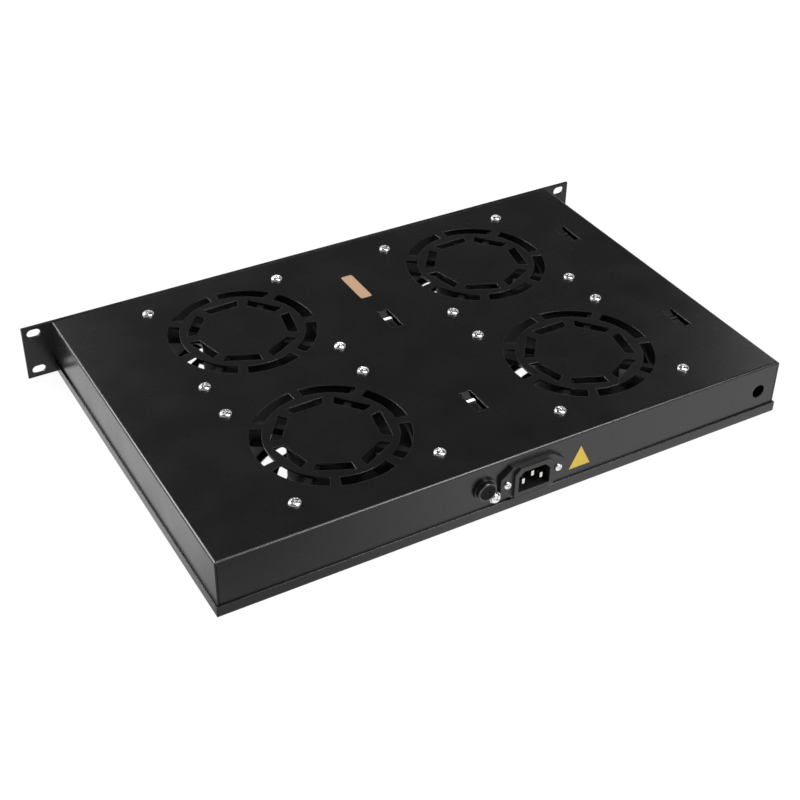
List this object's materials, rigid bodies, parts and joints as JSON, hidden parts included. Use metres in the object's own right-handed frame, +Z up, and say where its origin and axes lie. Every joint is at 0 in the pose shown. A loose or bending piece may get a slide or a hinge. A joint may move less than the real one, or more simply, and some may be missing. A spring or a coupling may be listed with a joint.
{
  "type": "rack fan tray",
  "caption": "Flat black rack-mounted fan tray with ring grilles, a mains inlet and fuse holder on the rear wall, and slotted front ears.",
  "frame": {"origin": "centre of the rack slot pattern, on the rear face of the ears", "axes": "+X along the width, +Y to the rear, away from the front panel, +Z up"},
  "size_m": [0.4826, 0.3131, 0.046],
  "materials": {
    "black_paint": "semi-gloss black powder coat",
    "fan_casting": "black painted casting",
    "fan_blades": "black moulded blades",
    "rotor_steel": "drawn steel cup",
    "stator_steel": "varnished laminations",
    "bearing_steel": "ground bearing steel",
    "bright_zinc": "bright zinc plate",
    "plain_zinc": "zinc plate",
    "black_zinc": "black zinc plate",
    "inlet_plastic": "black moulded housing",
    "nickel": "nickel plate",
    "brass": "brass",
    "fuse_plastic": "black moulding",
    "fuse_glass": "clear glass tube",
    "switch_plastic": "black moulding",
    "block_plastic": "natural polyamide",
    "lead_brown": "brown insulation",
    "lead_blue": "blue insulation",
    "lead_green": "green and yellow insulation",
    "lead_black": "black sheath",
    "natural_nylon": "natural nylon",
    "label_peach": "plain printed strip",
    "label_yellow": "plain yellow film"
  },
  "bodies": {
    "tray": {"bottom_cover": "black_paint", "cable_ties": "natural_nylon", "chassis_tray": "black_paint", "cover_screws": "black_zinc", "earth_lug": "nickel", "earth_nut": "plain_zinc", "earth_screw": "bright_zinc", "earth_washer": "bright_zinc", "fan_1_bearings": "bearing_steel", "fan_1_frame": "fan_casting", "fan_1_lead": "lead_black", "fan_1_stator": "stator_steel", "fan_2_bearings": "bearing_steel", "fan_2_frame": "fan_casting", "fan_2_lead": "lead_black", "fan_2_stator": "stator_steel", "fan_3_bearings": "bearing_steel", "fan_3_frame": "fan_casting", "fan_3_lead": "lead_black", "fan_3_stator": "stator_steel", "fan_4_bearings": "bearing_steel", "fan_4_frame": "fan_casting", "fan_4_lead": "lead_black", "fan_4_stator": "stator_steel", "fan_nuts": "plain_zinc", "fan_screws": "bright_zinc", "front_panel": "black_paint", "fuse_contacts": "brass", "fuse_holder_body": "fuse_plastic", "fuse_holder_nut": "fuse_plastic", "inlet_body": "inlet_plastic", "inlet_nuts": "plain_zinc", "inlet_pins": "nickel", "inlet_screws": "bright_zinc", "label_rear": "label_yellow", "label_top": "label_peach", "lead_earth": "lead_green", "lead_fuse_to_switch": "lead_brown", "lead_inlet_to_block": "lead_blue", "lead_inlet_to_fuse": "lead_brown", "lead_switch_to_block": "lead_brown", "panel_nuts": "plain_zinc", "panel_screws": "black_zinc", "switch_housing": "switch_plastic", "switch_tabs": "nickel", "terminal_block": "block_plastic", "terminal_screws": "plain_zinc"},
    "fan_1_spinner": {"fan_1_rotor": "rotor_steel", "fan_1_impeller": "fan_blades"},
    "fan_2_spinner": {"fan_2_rotor": "rotor_steel", "fan_2_impeller": "fan_blades"},
    "fan_3_spinner": {"fan_3_rotor": "rotor_steel", "fan_3_impeller": "fan_blades"},
    "fan_4_spinner": {"fan_4_rotor": "rotor_steel", "fan_4_impeller": "fan_blades"},
    "power_rocker": {"switch_rocker": "switch_plastic"},
    "fuse_link": {"fuse_glass": "fuse_glass", "fuse_end_caps": "nickel"},
    "fuse_knob": {"fuse_cap": "fuse_plastic"}
  },
  "joints": [
    {"name": "fan_1_spin", "type": "hinge", "parent": "tray", "child": "fan_1_spinner", "pos_m": [-0.1, 0.077, 0], "axis": [0, 0, 1], "continuous": true},
    {"name": "fan_2_spin", "type": "hinge", "parent": "tray", "child": "fan_2_spinner", "pos_m": [-0.1, 0.217, 0], "axis": [0, 0, 1], "continuous": true},
    {"name": "fan_3_spin", "type": "hinge", "parent": "tray", "child": "fan_3_spinner", "pos_m": [0.1, 0.077, 0], "axis": [0, 0, 1], "continuous": true},
    {"name": "fan_4_spin", "type": "hinge", "parent": "tray", "child": "fan_4_spinner", "pos_m": [0.1, 0.217, 0], "axis": [0, 0, 1], "continuous": true},
    {"name": "power_rock", "type": "hinge", "parent": "tray", "child": "power_rocker", "pos_m": [-0.189, -0.0015, 0], "axis": [1, 0, 0], "range_deg": [0, 18]},
    {"name": "fuse_pull", "type": "slide", "parent": "tray", "child": "fuse_link", "axis": [0, 1, 0], "range_m": [0, 0.03]},
    {"name": "fuse_turn", "type": "hinge", "parent": "fuse_link", "child": "fuse_knob", "pos_m": [0.029, 0.298, 0.0033], "axis": [0, 1, 0], "range_deg": [0, 90]}
  ]
}
